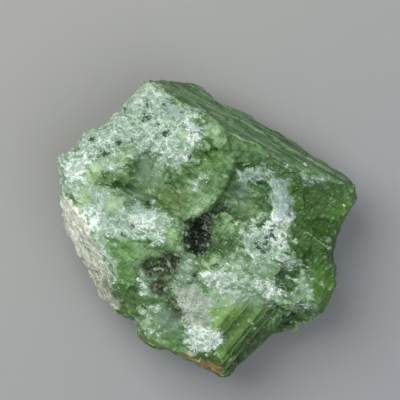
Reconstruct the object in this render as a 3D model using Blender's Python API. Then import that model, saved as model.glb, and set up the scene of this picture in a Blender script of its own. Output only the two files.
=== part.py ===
"""A palm-sized broken chunk of diopside, lying on its broad back with its broken face up.

The one solid is cut the way the mineral breaks: long prism ledges along the crystal, short steps of
the parting across it, plain fracture faces between them, and pits, lumps and terraces on the face.
Inside, lengths are millimetres. The finished solid is in metres, with +Z up and its rest at z = 0.
"""

import math

import bmesh
import bpy
import numpy as np
from mathutils import Vector, noise

MM = 0.001

# How finely the stone is worked before it is thinned, how many triangles it keeps, how thin it may
# get, and what is trimmed off its lowest spots to give it a flat rest
VOXEL = 0.6
TRIANGLES = 9400
LEAST_THICKNESS = 1.0
REST_TRIM = 0.25

# Directions in plan, in degrees from +X towards +Y
PRISM = -29.1
PARTING = 50.0
RIGHT_WALL = -14.5
BEVEL_WALL = 210.5

# The stone's edge as seen from above, clockwise from its top corner
OUTLINE = [
    (-12.7, 40.4), (-6.2, 38.8), (-1.0, 36.7), (6.0, 32.9), (10.6, 30.9), (14.8, 28.0), (21.4, 24.1),
    (25.6, 21.5), (28.8, 19.0), (33.2, 16.6), (37.4, 14.5), (40.2, 11.5), (40.7, 7.8), (38.8, 4.1),
    (37.1, 1.0), (34.8, -4.8), (33.8, -7.4), (34.5, -11.9), (34.3, -16.5), (33.6, -19.6),
    (31.0, -23.1), (26.5, -26.7), (24.8, -28.7), (18.9, -28.4), (13.3, -33.6), (10.2, -36.9),
    (7.8, -39.0), (4.6, -40.5), (-1.2, -38.1), (-7.0, -35.5), (-11.8, -33.6), (-17.0, -31.0),
    (-18.2, -29.4), (-18.5, -27.1), (-19.4, -25.0), (-22.9, -23.8), (-26.1, -22.0), (-30.6, -15.4),
    (-34.4, -8.2), (-37.9, -1.8), (-39.5, 7.7), (-39.6, 12.2), (-40.7, 18.5), (-38.5, 19.3),
    (-34.8, 22.7), (-32.0, 26.0), (-27.4, 27.2), (-23.2, 31.3), (-19.2, 36.1), (-16.8, 39.3),
]

# The face is three broad planes: height over the middle, then rise along X and along Y
FACE_PLANES = [(34.2, 0.164, -0.083), (33.9, -0.258, -0.008), (33.6, 0.020, 0.215)]
FACE_BLEND = 1.4
BLOCK_TOP = 36.0

# Height of the face over the rim, against the way in from the edge
EDGE_BREAK = [(0.0, 0.0), (0.3, 4.5), (1.0, 9.0), (2.2, 11.5), (3.2, 15.5), (10.0, 20.0)]

# The rim, where the stone is widest: height over the middle, rise along X and Y, and its waves.
# All waves are given as amplitude, width and a number of their own.
RIM = (16.5, -0.10, 0.02)
RIM_WAVE = (4.4, 26.0, 9.0)

# Heights of the striated prism side, the bevel and the terraces, against the way out from the middle
PRISM_SIDE = [(25.6, 34.0), (26.4, 28.6), (27.8, 27.2), (28.3, 23.8), (29.7, 22.2), (30.2, 18.8),
              (31.2, 17.0), (31.6, 10.5)]
BEVEL = [(27.4, 34.0), (28.6, 28.2), (33.6, 20.5), (34.6, 14.0)]
TERRACES = [
    (14.5, 34.0), (15.1, 28.8), (19.2, 28.2), (19.7, 27.4), (21.4, 27.1), (21.9, 26.2),
    (25.3, 25.6), (25.8, 24.6), (26.6, 24.4), (27.0, 23.6), (28.1, 23.4), (28.5, 22.4),
    (31.0, 21.6), (31.8, 12.0),
]
TERRACE_ENDS = (-10.5, -27.0)
TERRACE_END_SLOPE = 2.5

# Sides of the back: where each faces, its height against the way out from the middle, and the
# stretch along the side on which it breaks in ledges rather than in one slope
BACK_SIDES = [
    (PRISM + 90.0, [(12.0, 0.0), (19.0, 0.8), (19.6, 3.0), (24.5, 4.6), (25.2, 8.2), (28.3, 9.6),
                    (28.8, 12.4), (31.5, 15.5)], (-30.0, 16.0)),
    (PRISM - 90.0, [(14.0, 0.0), (24.0, 1.6), (24.8, 5.2), (30.0, 7.0), (30.8, 11.0),
                    (36.0, 16.5)], (-4.0, 30.0)),
    (PARTING - 90.0, [(14.0, 0.0), (21.0, 1.0), (21.5, 3.2), (25.0, 4.6), (25.5, 7.4), (29.0, 9.0),
                      (29.6, 12.0), (37.0, 17.0)], (-26.0, 2.0)),
    (PARTING + 90.0, [(17.0, 0.0), (29.0, 3.0), (30.0, 8.0), (44.0, 17.5)], (-30.0, -4.0)),
    (RIGHT_WALL, [(16.0, 0.0), (37.4, 15.5)], (0.0, 0.0)),
    (BEVEL_WALL, [(15.0, 0.0), (33.9, 15.5)], (0.0, 0.0)),
    (100.0, [(10.0, 0.0), (40.0, 15.0)], (0.0, 0.0)),
    (255.0, [(14.0, 0.0), (40.0, 16.0)], (0.0, 0.0)),
]
LEDGE_END = 1.5
BACK_WARP = (2.6, 17.0, 5.0)

# Scoops broken out of the back, in the form of the hollows below
SCOOPS = [
    ([(-32.0, 4.0), (-22.0, 10.0), (-13.0, 4.0), (-15.0, -8.0), (-26.0, -10.0)], 2.4, 6.0),
    ([(10.0, 18.0), (24.0, 16.0), (28.0, 3.0), (20.0, -2.0), (11.0, 7.0)], 2.0, 5.0),
    ([(2.0, -23.0), (12.0, -21.0), (15.0, -31.0), (4.0, -37.0)], 1.8, 4.0),
]

# The lobe in the middle ends in a broken cliff, and the ground below it climbs again to a shore
CLIFF = [
    (7.4, 19.0), (5.6, 14.1), (5.1, 11.7), (3.4, 9.3), (2.5, 7.7), (0.1, 4.8), (-4.0, 2.6), (-6.2, 0.4),
    (-6.8, -2.6), (-7.4, -5.4),
]
SHORE = [(-5.4, -9.2), (-2.4, -10.8), (1.4, -9.6), (5.0, -4.6), (10.0, 0.4), (13.4, 6.0), (12.4, 13.4)]
CLIFF_DEPTH = 4.2
CLIFF_REACH = 0.7
CLIFF_FADE = 10.0
SHORE_REACH = 7.5

# Hollows of the face: outline, depth, and how far in from the outline the full depth is reached
HOLLOWS = {
    "deep pit": (
        [(-6.2, 0.4), (-6.8, -2.6), (-5.9, -6.4), (-3.7, -8.6), (-1.2, -7.8), (1.0, -5.0), (0.2, -0.9),
         (-1.2, 2.4), (-4.0, 2.6)], 3.6, 1.8),
    "notch left of the pit": (
        [(-18.2, -10.2), (-16.8, -8.6), (-11.3, -6.7), (-8.3, -6.4), (-9.7, -10.2), (-15.7, -12.4)],
        2.2, 1.3),
    "nick under the notch": (
        [(-14.6, -15.2), (-13.0, -13.8), (-10.8, -14.6), (-11.1, -16.5), (-13.5, -16.8)], 1.8, 1.1),
    "nick under the pit": (
        [(-4.8, -12.4), (-3.7, -11.3), (-2.0, -12.4), (-2.6, -14.4), (-4.2, -14.1)], 1.4, 1.0),
    "upper nick of the white ridge": (
        [(-11.9, -18.7), (-10.2, -18.2), (-9.4, -20.4), (-10.2, -21.8), (-11.6, -20.9)], 1.3, 0.9),
    "lower nick of the white ridge": (
        [(-10.2, -20.9), (-8.6, -20.1), (-6.4, -22.8), (-5.6, -25.0), (-7.2, -25.0), (-9.2, -23.1)],
        1.8, 1.1),
    "gully on the right": (
        [(19.3, -11.3), (20.4, -9.2), (23.2, -10.2), (25.6, -8.6), (25.4, -11.9), (23.2, -14.1),
         (24.3, -17.4), (22.1, -18.7), (19.9, -16.8), (18.8, -14.1)], 2.6, 1.6),
    "groove over the white band": (
        [(-27.2, 12.2), (-23.4, 13.3), (-15.7, 8.1), (-7.0, 4.5), (-8.1, 3.2), (-16.8, 6.2), (-26.1, 9.5)],
        1.9, 1.4),
    "basin at the upper left": (
        [(-19.6, 21.5), (-15.7, 22.4), (-13.5, 18.8), (-14.1, 14.4), (-16.3, 11.1), (-20.7, 16.6)], 2.0, 3.2),
    "bowl inside the arc": (
        [(7.0, 12.2), (10.6, 13.9), (15.0, 12.8), (16.6, 8.9), (15.0, 4.5), (10.6, 0.7), (6.7, 1.8)],
        1.6, 2.4),
    "nick on the right": (
        [(25.9, -7.0), (28.7, -5.9), (29.8, -9.2), (27.6, -12.4), (25.6, -10.8)], 1.5, 1.2),
    "nick at the lower left edge": (
        [(-22.0, -20.4), (-20.1, -19.0), (-17.9, -20.7), (-18.5, -24.5), (-20.7, -23.9)], 1.4, 1.4),
    "break at the right corner": (
        [(25.4, 2.4), (32.5, 2.6), (38.6, 0.9), (36.0, -5.0), (31.4, -3.7), (27.8, -0.9)], 1.6, 1.0),
}

# Lumps of the face, in the same form
LUMPS = {
    "knob of the middle lobe": (
        [(-3.9, 13.9), (-2.3, 15.0), (-0.9, 13.3), (-1.5, 11.7), (-3.4, 11.7)], 0.9, 1.2),
    "knob at the left": (
        [(-15.5, 12.2), (-13.8, 13.3), (-12.4, 11.7), (-13.3, 10.0), (-14.9, 10.6)], 1.2, 1.3),
    "white knob under the pit": (
        [(-1.8, -8.1), (0.2, -6.1), (3.2, -6.4), (3.7, -9.2), (1.8, -10.8), (-0.9, -10.5)], 1.3, 2.2),
    "swelling under the crest": (
        [(-2.0, 27.6), (3.0, 29.3), (6.2, 24.8), (5.6, 22.1), (1.8, 21.5), (-0.9, 23.7)], 1.1, 1.4),
    "swelling at the foot": (
        [(-5.9, -29.2), (-3.1, -27.2), (0.7, -27.8), (2.4, -31.1), (0.4, -33.8), (-3.7, -33.5)], 1.4, 2.0),
    "white band": (
        [(-27.2, 8.4), (-16.3, 5.1), (-7.0, 4.0), (-6.7, 0.7), (-9.7, -2.0), (-19.0, -2.0), (-27.8, 4.0)],
        1.3, 2.2),
    "lump on the right": (
        [(15.0, -4.2), (19.9, -2.0), (24.8, -5.3), (26.2, -8.1), (21.0, -10.8), (17.7, -9.2)], 1.1, 1.2),
    "arc": (
        [(8.4, 16.1), (13.6, 16.6), (19.1, 15.0), (22.1, 10.8), (22.9, 7.0), (22.1, 1.8), (18.8, -2.0),
         (15.0, -0.9), (17.7, 3.5), (18.8, 7.8), (16.6, 11.7), (12.2, 13.9), (8.4, 13.6)], 1.2, 1.5),
}

# How far the outlines of hollows and lumps stray, and what share of it the edge and the prism side take
STRAY = (1.3, 5.0, 2.0)
EDGE_STRAY = 0.6
SIDE_STRAY = 0.2

# Roughness, which starts a little over the rest: the waves; the crystal facets by amplitude and
# width, their tilt and step, how much longer they are along the crystal, and how their coarseness
# varies (least, middle, spread and width); the grooves of the prism side by amplitude, width and
# length, and how squarely a face must look that way to carry them
ROUGH_FROM = 0.15
WAVE = (0.50, 11.0, 3.0)
GRAIN = (1.5, 5.0)
GRAIN_TILT = 2.0
GRAIN_STEP = 0.6
GRAIN_LENGTH = 1.5
GRAIN_COARSENESS = (0.3, 0.65, 1.6, 15.0)
GRAIN_NUMBER = 41.0
GROOVE = (0.55, 2.6, 26.0)
GROOVE_FACING = 0.35


def way_out(x, y, heading):
    """How far a place lies out from the middle in a direction of the plan."""
    turn = math.radians(heading)
    return x * math.cos(turn) + y * math.sin(turn)


def along(stations, way):
    """The height at a way out, on straight lines between stations."""
    ways, heights = zip(*stations)
    return np.interp(way, ways, heights)


def distance(x, y, line):
    """How far each place lies from a line of straight runs."""
    nearest = np.full(x.shape, 1e9)
    for (ax, ay), (bx, by) in zip(line, line[1:]):
        run_x, run_y = bx - ax, by - ay
        share = ((x - ax) * run_x + (y - ay) * run_y) / (run_x ** 2 + run_y ** 2)
        share = np.clip(share, 0.0, 1.0)
        nearest = np.minimum(nearest, np.hypot(x - ax - share * run_x, y - ay - share * run_y))
    return nearest


def is_inside(x, y, outline):
    """Whether each place lies inside an outline."""
    inside = np.zeros(x.shape, dtype=bool)
    for (ax, ay), (bx, by) in zip(outline, outline[1:] + outline[:1]):
        if ay != by:
            straddles = (ay > y) != (by > y)
            inside ^= straddles & (x < ax + (y - ay) * (bx - ax) / (by - ay))
    return inside


def depth_inside(x, y, outline):
    """How far each place lies inside an outline, and less than zero outside it."""
    nearest = distance(x, y, outline + outline[:1])
    return np.where(is_inside(x, y, outline), nearest, -nearest)


def below_cliff(x, y):
    """How deep the ground lies under the broken cliff of the middle lobe."""
    drop = np.clip(distance(x, y, CLIFF) / CLIFF_REACH, 0.0, 1.0)
    climb = np.clip(distance(x, y, SHORE) / SHORE_REACH, 0.0, 1.0)
    top_x, top_y = CLIFF[0]
    fade = np.clip(np.hypot(x - top_x, y - top_y) / CLIFF_FADE, 0.0, 1.0)
    return np.where(is_inside(x, y, CLIFF + SHORE), CLIFF_DEPTH * drop * climb * fade, 0.0)


def sunk(x, y, outline, amount, reach):
    """A hollow or lump that comes up softly to its full amount within a reach of its outline."""
    share = np.clip(depth_inside(x, y, outline) / reach, 0.0, 1.0)
    return amount * share * (2.0 - share)


def broad_face(x, y):
    """The three planes of the face, with their meeting ridges rounded a little."""
    heights = [rise + x * by_x + y * by_y for rise, by_x, by_y in FACE_PLANES]
    return -FACE_BLEND * np.log(sum(np.exp(-height / FACE_BLEND) for height in heights))


def terraces(x, y):
    """The steps of the parting at the lower right, fading out past both their ends."""
    out = way_out(x, y, PARTING - 90.0)
    across = way_out(x, y, PRISM + 90.0)
    inner, outer = TERRACE_ENDS
    past = np.maximum(across - inner, 0.0) + np.maximum(outer - across, 0.0)
    return along(TERRACES, out) + TERRACE_END_SLOPE * past


def strayed(x, y, amount, width, number):
    """Places moved about by smooth waves, which make a drawn outline look broken."""
    waves = [noise.noise_vector(Vector((a / width, b / width, number))) for a, b in zip(x, y)]
    waves = np.array(waves) * amount
    return x + waves[:, 0], y + waves[:, 1]


def rim(x, y):
    """Height at which the stone is widest."""
    middle, by_x, by_y = RIM
    amount, width, number = RIM_WAVE
    waves = [noise.noise(Vector((a / width, b / width, number))) for a, b in zip(x, y)]
    return middle + by_x * x + by_y * y + amount * np.array(waves)


def face(x, y):
    """Height of the broken face."""
    height = np.minimum(broad_face(x, y), terraces(x, y))
    near_x, near_y = strayed(x, y, *STRAY)
    height = height - below_cliff(near_x, near_y)
    for outline, depth, reach in HOLLOWS.values():
        height = height - sunk(near_x, near_y, outline, depth, reach)
    for outline, rise, reach in LUMPS.values():
        height = height + sunk(near_x, near_y, outline, rise, reach)
    inside = depth_inside(x, y, OUTLINE) + (near_x - x) * EDGE_STRAY
    height = np.minimum(height, rim(x, y) + along(EDGE_BREAK, inside))
    side = way_out(x, y, PRISM + 90.0) + (near_y - y) * SIDE_STRAY
    height = np.minimum(height, along(PRISM_SIDE, side))
    return np.minimum(height, along(BEVEL, way_out(x, y, BEVEL_WALL)))


def back_side(x, y, heading, stations, stretch):
    """One side of the back: ledges along its stretch, and one slope past its ends."""
    out = way_out(x, y, heading)
    run = way_out(x, y, heading + 90.0)
    first, last = stations[0], stations[-1]
    slope = along([first, last], out)
    start, end = stretch
    share = np.clip(np.minimum(run - start, end - run) / LEDGE_END, 0.0, 1.0)
    return slope + share * (along(stations, out) - slope)


def back(x, y):
    """Height of the back, which is flat in the middle and breaks away up to the rim."""
    far_x, far_y = strayed(x, y, *BACK_WARP)
    sides = [back_side(far_x, far_y, *side) for side in BACK_SIDES]
    height = np.maximum.reduce(sides)
    for outline, depth, reach in SCOOPS:
        height = height + sunk(far_x, far_y, outline, depth, reach)
    return np.minimum(height, rim(x, y) - LEAST_THICKNESS)


def block():
    """The outline as a straight-sided block."""
    mesh = bpy.data.meshes.new("diopside")
    shape = bmesh.new()
    floor = shape.faces.new([shape.verts.new((x, y, 0.0)) for x, y in reversed(OUTLINE)])
    raised = bmesh.ops.extrude_face_region(shape, geom=[floor])["geom"]
    tops = [item for item in raised if isinstance(item, bmesh.types.BMVert)]
    bmesh.ops.translate(shape, verts=tops, vec=(0.0, 0.0, BLOCK_TOP))
    bmesh.ops.recalc_face_normals(shape, faces=shape.faces)
    shape.to_mesh(mesh)
    shape.free()
    stone = bpy.data.objects.new("diopside", mesh)
    bpy.context.scene.collection.objects.link(stone)
    return stone


def worked(stone, kind, **settings):
    """Runs one modifier over the stone and keeps its result."""
    modifier = stone.modifiers.new(kind, kind)
    for name, value in settings.items():
        setattr(modifier, name, value)
    bpy.context.view_layer.update()
    result = bpy.data.meshes.new_from_object(stone.evaluated_get(bpy.context.evaluated_depsgraph_get()))
    stone.modifiers.clear()
    stone.data = result


def corners(stone):
    """The stone's points as an array."""
    flat = np.empty(len(stone.data.vertices) * 3)
    stone.data.vertices.foreach_get("co", flat)
    return flat.reshape(-1, 3)


def place(stone, points):
    """Puts the stone's points where the array says."""
    stone.data.vertices.foreach_set("co", points.ravel())
    stone.data.update()


def hew(stone):
    """Cuts the block down to its face and up to its back."""
    points = corners(stone)
    x, y, z = points.T
    low = back(x, y)
    high = np.maximum(face(x, y), low + LEAST_THICKNESS)
    points[:, 2] = np.clip(z, low, high)
    place(stone, points)


def grain(point):
    """Crystal facets: of the tilted planes near a place, the second highest is its surface."""
    amount, width = GRAIN
    turn = math.radians(PRISM)
    run = point.x * math.cos(turn) + point.y * math.sin(turn)
    side = point.y * math.cos(turn) - point.x * math.sin(turn)
    place_in_rock = Vector((run / GRAIN_LENGTH, side, point.z)) / width
    planes = []
    for middle in noise.voronoi(place_in_rock)[1]:
        tilt = noise.cell_vector(middle * GRAIN_NUMBER) - Vector((0.5, 0.5, 0.5))
        planes.append(GRAIN_TILT * (place_in_rock - middle).dot(tilt) + GRAIN_STEP * tilt.x)
    least, common, spread, reach = GRAIN_COARSENESS
    coarse = min(1.0, max(least, common + spread * noise.noise(point / reach)))
    return amount * coarse * sorted(planes)[-2]


def groove(point, normal):
    """Grooves of the prism side, which run along the crystal on its steep faces."""
    amount, width, length = GROOVE
    turn = math.radians(PRISM + 90.0)
    facing = abs(normal.x * math.cos(turn) + normal.y * math.sin(turn))
    run = point.x * math.cos(turn - math.pi / 2) + point.y * math.sin(turn - math.pi / 2)
    lines = noise.noise(Vector((run / length, 0.0, point.z / width)))
    return amount * lines * max(0.0, facing - GROOVE_FACING)


def roughen(stone):
    """Waves, grains and grooves over the whole stone but its rest."""
    points = corners(stone)
    amount, width, number = WAVE
    for index, vertex in enumerate(stone.data.vertices):
        point, normal = vertex.co.copy(), vertex.normal.copy()
        wave = amount * noise.noise(point / width + Vector((number, number, number)))
        above = min(1.0, max(0.0, point.z - ROUGH_FROM))
        out = (wave + grain(point) + groove(point, normal)) * above
        points[index] += np.array(normal) * out
    points[:, 2] = np.maximum(points[:, 2], 0.0)
    place(stone, points)


def rest_flat(stone):
    """Trims the rest to one true plane."""
    shape = bmesh.new()
    shape.from_mesh(stone.data)
    parts = shape.verts[:] + shape.edges[:] + shape.faces[:]
    cut = bmesh.ops.bisect_plane(
        shape, geom=parts, plane_co=(0.0, 0.0, REST_TRIM), plane_no=(0.0, 0.0, 1.0), clear_inner=True)
    border = [item for item in cut["geom_cut"] if isinstance(item, bmesh.types.BMEdge)]
    bmesh.ops.contextual_create(shape, geom=border)
    bmesh.ops.triangulate(shape, faces=shape.faces)
    bmesh.ops.recalc_face_normals(shape, faces=shape.faces)
    shape.to_mesh(stone.data)
    shape.free()


def centre(stone):
    """Stands the stone with the middle of its box over the origin, in metres."""
    points = corners(stone)
    low, high = points.min(axis=0), points.max(axis=0)
    middle = (low + high) / 2.0
    points -= (middle[0], middle[1], low[2])
    place(stone, points * MM)


def green_stone():
    """Translucent green stone between glassy and dull."""
    material = bpy.data.materials.new("diopside_green")
    material.use_nodes = True
    shader = material.node_tree.nodes["Principled BSDF"]
    shader.inputs["Base Color"].default_value = (0.20, 0.34, 0.16, 1.0)
    shader.inputs["Roughness"].default_value = 0.45
    shader.inputs["Metallic"].default_value = 0.0
    return material


def build():
    for old in list(bpy.data.objects):
        bpy.data.objects.remove(old, do_unlink=True)
    stone = block()
    worked(stone, "REMESH", mode="VOXEL", voxel_size=VOXEL)
    hew(stone)
    worked(stone, "REMESH", mode="VOXEL", voxel_size=VOXEL)
    roughen(stone)
    triangles = sum(len(face.vertices) - 2 for face in stone.data.polygons)
    worked(stone, "DECIMATE", ratio=TRIANGLES / triangles, use_collapse_triangulate=True)
    rest_flat(stone)
    centre(stone)
    stone.data.materials.clear()
    stone.data.materials.append(green_stone())


build()
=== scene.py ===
import math

import bmesh
import bpy
import numpy as np
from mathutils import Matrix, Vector, noise


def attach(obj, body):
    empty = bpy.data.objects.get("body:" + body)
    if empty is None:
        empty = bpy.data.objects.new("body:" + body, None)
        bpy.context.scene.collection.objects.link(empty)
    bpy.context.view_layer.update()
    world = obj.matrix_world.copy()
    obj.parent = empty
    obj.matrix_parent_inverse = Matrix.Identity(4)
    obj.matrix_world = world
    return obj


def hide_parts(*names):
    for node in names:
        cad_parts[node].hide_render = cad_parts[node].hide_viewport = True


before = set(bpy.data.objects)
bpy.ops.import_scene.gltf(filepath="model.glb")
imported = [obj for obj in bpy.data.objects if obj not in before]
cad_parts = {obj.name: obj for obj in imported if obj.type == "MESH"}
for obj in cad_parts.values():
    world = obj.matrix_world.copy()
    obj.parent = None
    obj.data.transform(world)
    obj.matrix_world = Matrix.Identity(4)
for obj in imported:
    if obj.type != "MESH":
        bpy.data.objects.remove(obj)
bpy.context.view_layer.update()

# The light table: a floor of pale grey card that turns up into a wall all round, soft daylight from
# the upper left, and a camera that hangs straight above the stone with a long lens.

MM = 0.001
# The frame in pixels, and where the middle of the stone lies in it
FRAME_PIXELS = 400
PIXELS_PER_MM = 3.65
STONE_MIDDLE = (207.4, 228.6)
# The camera, in millimetres: the level where that scale holds, its height over it, and its film
SIGHT_HEIGHT = 20.0
CAMERA_HEIGHT = 1800.0
SENSOR = 36.0
# The floor and its wall, in metres
FLOOR_RADIUS = 2.2
FLOOR_CURVE = 0.5
WALL_RADIUS = 2.75
WALL_HEIGHT = 4.6


def on_stone(pixel_x, pixel_y):
    """The place in plan, in millimetres, that a pixel of the frame looks at."""
    return (pixel_x - STONE_MIDDLE[0]) / PIXELS_PER_MM, (STONE_MIDDLE[1] - pixel_y) / PIXELS_PER_MM


def dye(red, green, blue):
    """A colour as the eye reads it, 0 to 255, turned into the linear light that shaders take."""
    shares = np.array((red, green, blue)) / 255.0
    linear = np.where(shares <= 0.04045, shares / 12.92, ((shares + 0.055) / 1.055) ** 2.4)
    return (*map(float, linear), 1.0)


def put(name, data):
    """A new object in the scene that holds a mesh, a lens or a lamp."""
    thing = bpy.data.objects.new(name, data)
    bpy.context.scene.collection.objects.link(thing)
    return thing


class Flow:
    """A value in a node tree. Sums on it add the nodes that work them out."""

    def __init__(self, tree, socket=None):
        self.tree = tree
        self.socket = socket

    def add(self, kind, settings=None, sockets=None, out=0):
        """Adds a node of a type: its settings first, then the values or links of its sockets."""
        node = self.tree.nodes.new(kind)
        for name, value in (settings or {}).items():
            if name == "stops":
                set_stops(node.color_ramp, value)
            else:
                setattr(node, name, value)
        for key, value in (sockets or {}).items():
            if isinstance(value, Flow):
                self.tree.links.new(value.socket, node.inputs[key])
            else:
                node.inputs[key].default_value = value
        return Flow(self.tree, node.outputs[out])

    def into(self, socket):
        """Leads the value into a socket of another node."""
        self.tree.links.new(self.socket, socket)

    def maths(self, operation, *others):
        return self.add("ShaderNodeMath", {"operation": operation}, dict(enumerate((self, *others))))

    def vectors(self, operation, *others, out=0):
        sockets = dict(enumerate((self, *others)))
        return self.add("ShaderNodeVectorMath", {"operation": operation}, sockets, out)

    def __add__(self, other):
        return self.maths("ADD", other)

    def __sub__(self, other):
        return self.maths("SUBTRACT", other)

    def __rsub__(self, other):
        return self.add("ShaderNodeMath", {"operation": "SUBTRACT"}, {0: other, 1: self})

    def __mul__(self, other):
        return self.maths("MULTIPLY", other)

    __radd__ = __add__
    __rmul__ = __mul__

    def scaled(self, size):
        """A vector made longer or shorter."""
        return self.add("ShaderNodeVectorMath", {"operation": "SCALE"}, {0: self, 3: size})

    def along(self, direction):
        """How far a place lies in a direction."""
        return self.vectors("DOT_PRODUCT", direction, out=1)

    def over(self, low, high, climb="SMOOTHSTEP"):
        """0 below low and 1 above high, with a soft or a LINEAR climb between."""
        settings = {"interpolation_type": climb}
        return self.add("ShaderNodeMapRange", settings, {0: self, 1: low, 2: high, 3: 0.0, 4: 1.0})

    def dyed(self, stops):
        """The value as a colour between stops, each a place from 0 to 1 and a dye."""
        return self.add("ShaderNodeValToRGB", {"stops": stops}, {0: self})

    def towards(self, colour, share):
        """This colour mixed with another, or with a dye, by a share."""
        other = colour if isinstance(colour, Flow) else dye(*colour)
        return self.add("ShaderNodeMix", {"data_type": "RGBA"}, {0: share, 6: self, 7: other}, out=2)


def set_stops(ramp, stops):
    while len(ramp.elements) < len(stops):
        ramp.elements.new(1.0)
    for element, (place, colour) in zip(ramp.elements, stops):
        element.position = place
        element.color = dye(*colour)


def new_finish(name):
    """A new material, its shader, and the places on the object that patterns start from."""
    material = bpy.data.materials.new(name)
    material.use_nodes = True
    shader = material.node_tree.nodes["Principled BSDF"]
    return material, shader, Flow(material.node_tree).add("ShaderNodeTexCoord", out=3)


def floor_finish():
    """Grey card, with painted shade that makes it a little darker and cooler away from the window,
    and painted light that makes it paler far off and up the wall.
    """
    material, shader, place = new_finish("floor_grey")
    # Painted shade: darker and cooler away from the window
    from_window = place.along((4.0, -4.0, 0.0)).over(-0.35, 0.6, "LINEAR")
    far = place.vectors("LENGTH", out=1)
    card = {0: from_window, 6: dye(163, 163, 160), 7: dye(149, 152, 158)}
    card = place.add("ShaderNodeMix", {"data_type": "RGBA"}, card, out=2)
    # Painted light: paler far off and up the wall, where the lamps reach little
    card.towards((238, 238, 236), far.over(0.6, 2.4, "LINEAR")).into(shader.inputs["Base Color"])
    shader.inputs["Roughness"].default_value = 0.85
    shader.inputs["Specular IOR Level"].default_value = 0.2
    return material


def lay_floor():
    mesh = bpy.data.meshes.new("floor")
    shape = bmesh.new()
    profile = [(0.0, 0.0), (FLOOR_RADIUS, 0.0)]
    profile += [(FLOOR_RADIUS + FLOOR_CURVE * math.sin(turn), FLOOR_CURVE - FLOOR_CURVE * math.cos(turn))
                for turn in np.linspace(0.2, 1.5, 8)]
    profile += [(WALL_RADIUS, WALL_HEIGHT)]
    points = [shape.verts.new((radius, 0.0, height)) for radius, height in profile]
    edges = [shape.edges.new(pair) for pair in zip(points, points[1:])]
    bmesh.ops.spin(shape, geom=points + edges, cent=(0, 0, 0), axis=(0, 0, 1), angle=math.tau, steps=64)
    bmesh.ops.remove_doubles(shape, verts=shape.verts, dist=0.0005)
    bmesh.ops.recalc_face_normals(shape, faces=shape.faces)
    for face in shape.faces:
        face.smooth = True
    shape.to_mesh(mesh)
    shape.free()
    mesh.materials.append(floor_finish())
    put("floor", mesh)


def hang_camera():
    lens = bpy.data.cameras.new("camera")
    lens.sensor_width = SENSOR
    lens.lens = SENSOR * CAMERA_HEIGHT / (FRAME_PIXELS / PIXELS_PER_MM)
    lens.clip_start = 0.1
    lens.clip_end = 10.0
    camera = put("camera", lens)
    x, y = on_stone(FRAME_PIXELS / 2, FRAME_PIXELS / 2)
    camera.location = (x * MM, y * MM, (CAMERA_HEIGHT + SIGHT_HEIGHT) * MM)
    bpy.context.scene.camera = camera


def hang_light(name, heading, height, distance, size, power, colour):
    """A round soft light that faces the stone. Heading in plan and height are in degrees."""
    lamp = bpy.data.lights.new(name, "AREA")
    lamp.shape = "DISK"
    lamp.size = size
    lamp.energy = power
    lamp.color = colour
    light = put(name, lamp)
    turn, rise = math.radians(heading), math.radians(height)
    way = Vector((math.cos(turn) * math.cos(rise), math.sin(turn) * math.cos(rise), math.sin(rise)))
    light.location = way * distance
    light.rotation_mode = "QUATERNION"
    light.rotation_quaternion = way.to_track_quat("Z", "Y")


hang_camera()
lay_floor()
hang_light("window", 136.0, 57.0, distance=1.5, size=1.3, power=18.0, colour=(1.0, 0.99, 0.96))
hang_light("fill", -40.0, 62.0, distance=1.6, size=1.6, power=8.0, colour=(0.93, 0.97, 1.0))
sky = bpy.data.worlds.new("sky")
sky.use_nodes = True
sky.node_tree.nodes["Background"].inputs["Color"].default_value = (0.90, 0.95, 1.0, 1.0)
sky.node_tree.nodes["Background"].inputs["Strength"].default_value = 0.42
bpy.context.scene.world = sky
bpy.context.scene.view_settings.view_transform = "Standard"

# The stone: one broken chunk of green diopside under a white sugary crust, lying loose on its back.
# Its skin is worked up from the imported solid: made finer, broken into cleavage steps, crystal facets
# and crumbs, and marked with the ground that each mineral covers, for its finish to read.

# How fine the skin is, in millimetres, and how many triangles it may keep
SKIN = 0.30
SKIN_TRIANGLES = 190000
# The run of the prism and of the parting in plan, in degrees
PRISM = -29.1
PARTING = 50.0
# The height of the rim between back and face, and how deep a ground is told, in millimetres
RIM_HEIGHT = 10.0
GROUND_DEPTH = 3.0
# How far each kind of break lifts the skin, in millimetres
PARTING_STEP = 0.10
PRISM_STEP = 0.08
TREAD_RISE = 0.14
SHEAR_STEP = 0.12
FACET = 0.27
CRUMB = 0.24
PIT_FACET = 0.35
SWELL = 0.07
STRIA = 0.2

# Where each mineral lies: its ground, as outlines in pixels of the frame

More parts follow.
